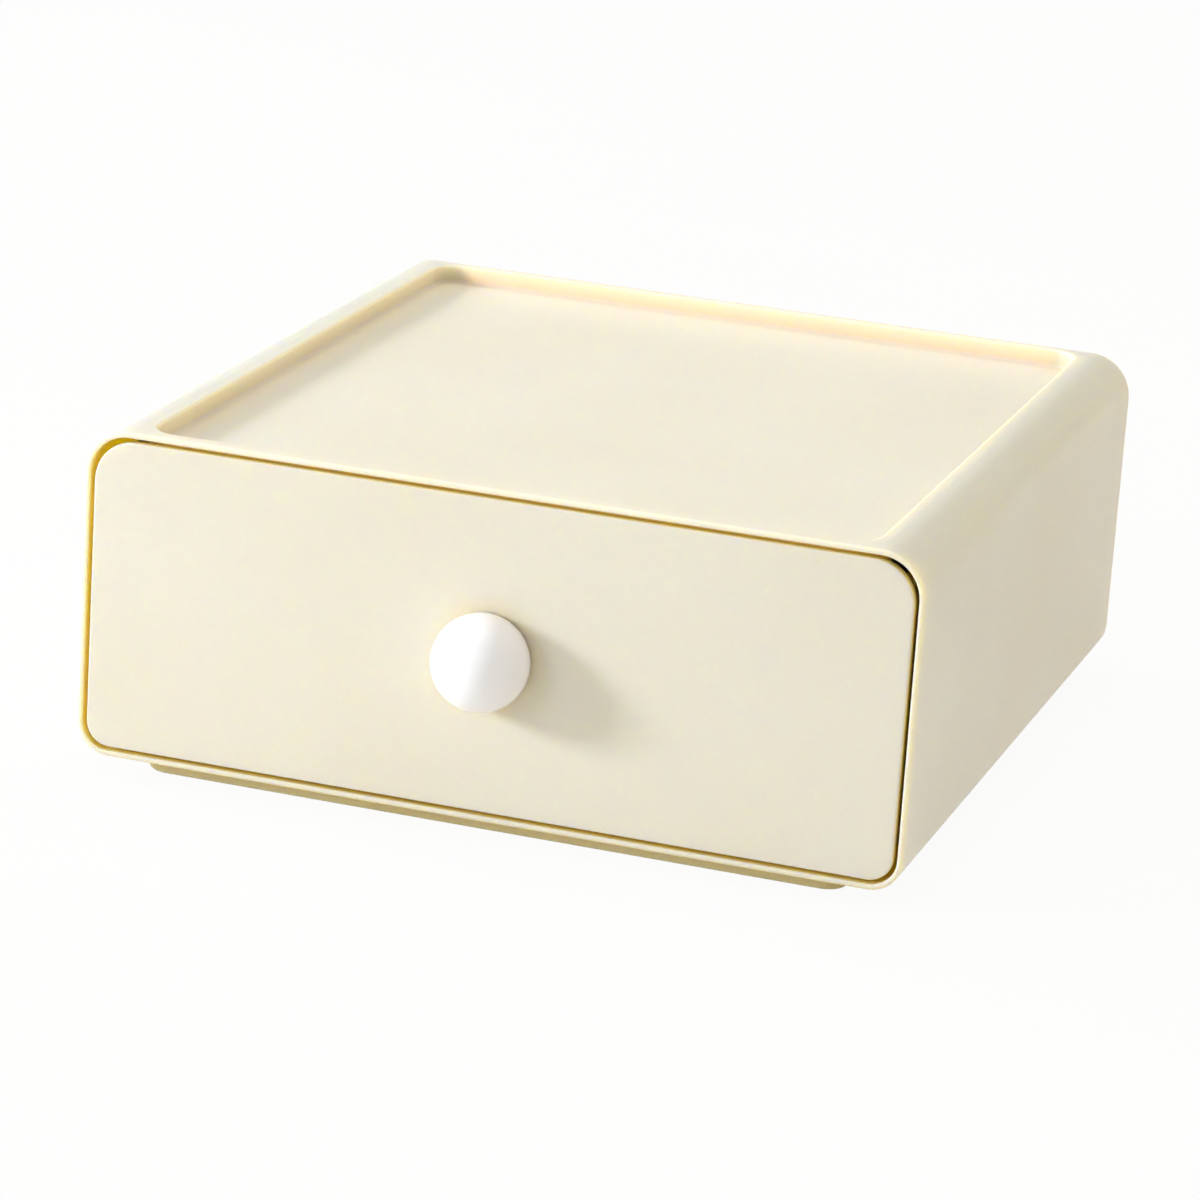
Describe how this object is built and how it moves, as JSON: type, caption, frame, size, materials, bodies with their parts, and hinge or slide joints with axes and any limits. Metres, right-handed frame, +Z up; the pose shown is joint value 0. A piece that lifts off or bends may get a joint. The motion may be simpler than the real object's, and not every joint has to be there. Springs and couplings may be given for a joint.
{
  "type": "stackable drawer box",
  "caption": "Low plastic box with rounded edges and one pull-out drawer with a ball knob; its recessed top takes the foot ring of another such box.",
  "frame": {"origin": "on the surface that the box stands on, under the middle of the closed box's outline with its knob", "axes": "+X to the right seen from the front, +Y from the drawer front to the back, +Z up"},
  "size_m": [0.18, 0.194, 0.0746],
  "materials": {
    "cream_plastic": "satin moulded ABS, ivory",
    "white_plastic": "smooth white moulded plastic",
    "brass": "turned brass",
    "steel": "zinc-plated steel",
    "pad_rubber": "matt soft rubber"
  },
  "bodies": {
    "housing": {"housing": "cream_plastic", "pad_front_left": "pad_rubber", "pad_front_right": "pad_rubber", "pad_rear_left": "pad_rubber", "pad_rear_right": "pad_rubber"},
    "drawer": {"drawer_tray": "cream_plastic", "drawer_front": "cream_plastic", "knob": "white_plastic", "knob_insert": "brass", "knob_screw": "steel", "knob_washer": "steel"}
  },
  "joints": [
    {"name": "drawer_slide", "type": "slide", "parent": "housing", "child": "drawer", "axis": [0, -1, 0], "range_m": [0, 0.13]}
  ]
}
